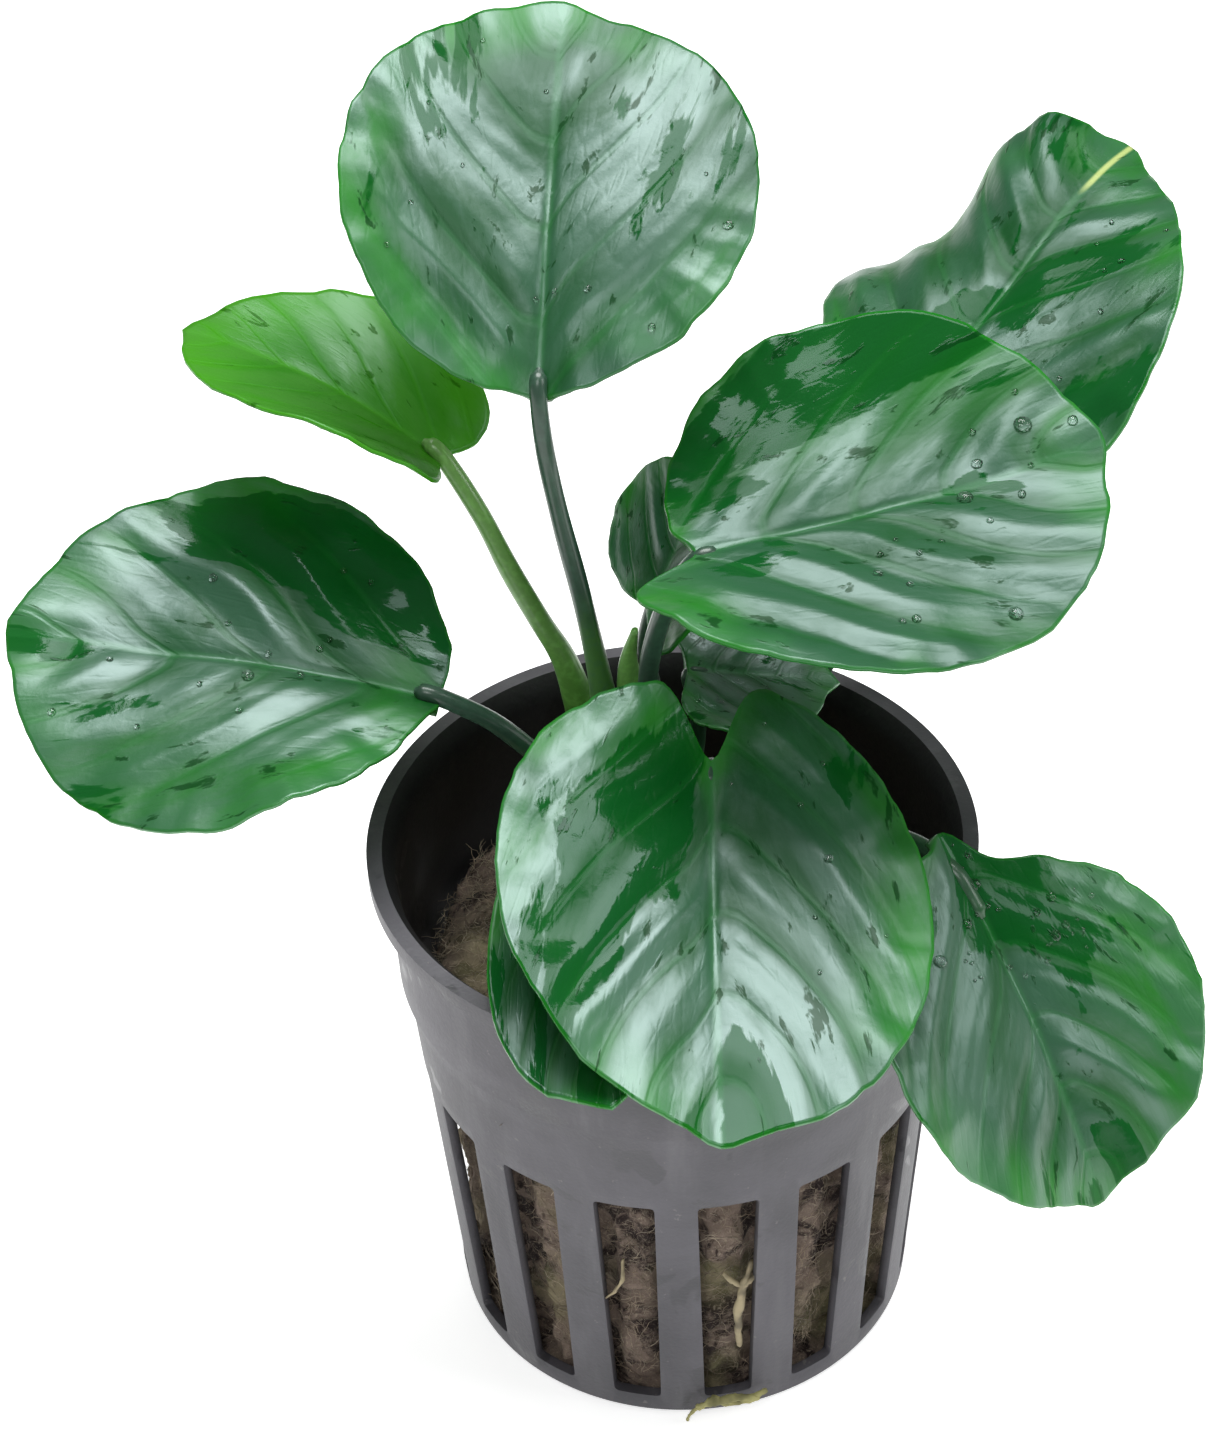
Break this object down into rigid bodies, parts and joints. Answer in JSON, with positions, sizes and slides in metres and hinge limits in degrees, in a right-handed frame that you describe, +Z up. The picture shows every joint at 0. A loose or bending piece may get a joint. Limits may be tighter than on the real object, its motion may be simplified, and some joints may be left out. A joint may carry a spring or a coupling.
{
  "type": "potted anubias",
  "caption": "Broad-leaved water plant on a creeping stem, rooted in mineral wool in a black slotted net pot, ready to set in an aquarium",
  "frame": {"origin": "centre of the pot's base, on the surface the pot stands on", "axes": "+Z up along the pot's centre line, -Y is the front, +X is to the right seen from the front"},
  "size_m": [0.1075, 0.0936, 0.1156],
  "materials": {
    "pot": "satin black injection moulded plastic, scuffed outside",
    "wool": "damp brown mineral wool fibre",
    "rhizome": "green-brown ringed living stem",
    "root": "tan fibrous root",
    "leaf": "dark green, thick waxy blade, wet and glossy",
    "young_leaf": "bright yellow-green, thin young blade, glossy",
    "stalk": "dark green smooth stalk",
    "young_stalk": "light green smooth stalk and sheath"
  },
  "bodies": {
    "root": {"net_pot": "pot", "mineral_wool": "wool", "rhizome": "rhizome", "root_front": "root", "root_left": "root", "root_right": "root", "root_back": "root", "root_low": "root", "top_blade": "leaf", "top_stalk": "stalk", "young_blade": "young_leaf", "young_stalk": "young_stalk", "left_blade": "leaf", "left_stalk": "stalk", "broad_blade": "leaf", "broad_stalk": "stalk", "curled_blade": "leaf", "curled_stalk": "stalk", "front_blade": "leaf", "front_stalk": "stalk", "right_blade": "leaf", "right_stalk": "stalk", "tucked_blade": "leaf", "tucked_stalk": "stalk", "sprout_blade": "leaf", "sprout_stalk": "stalk", "low_blade": "leaf", "low_stalk": "stalk", "bud_sheath": "young_stalk"}
  },
  "joints": []
}
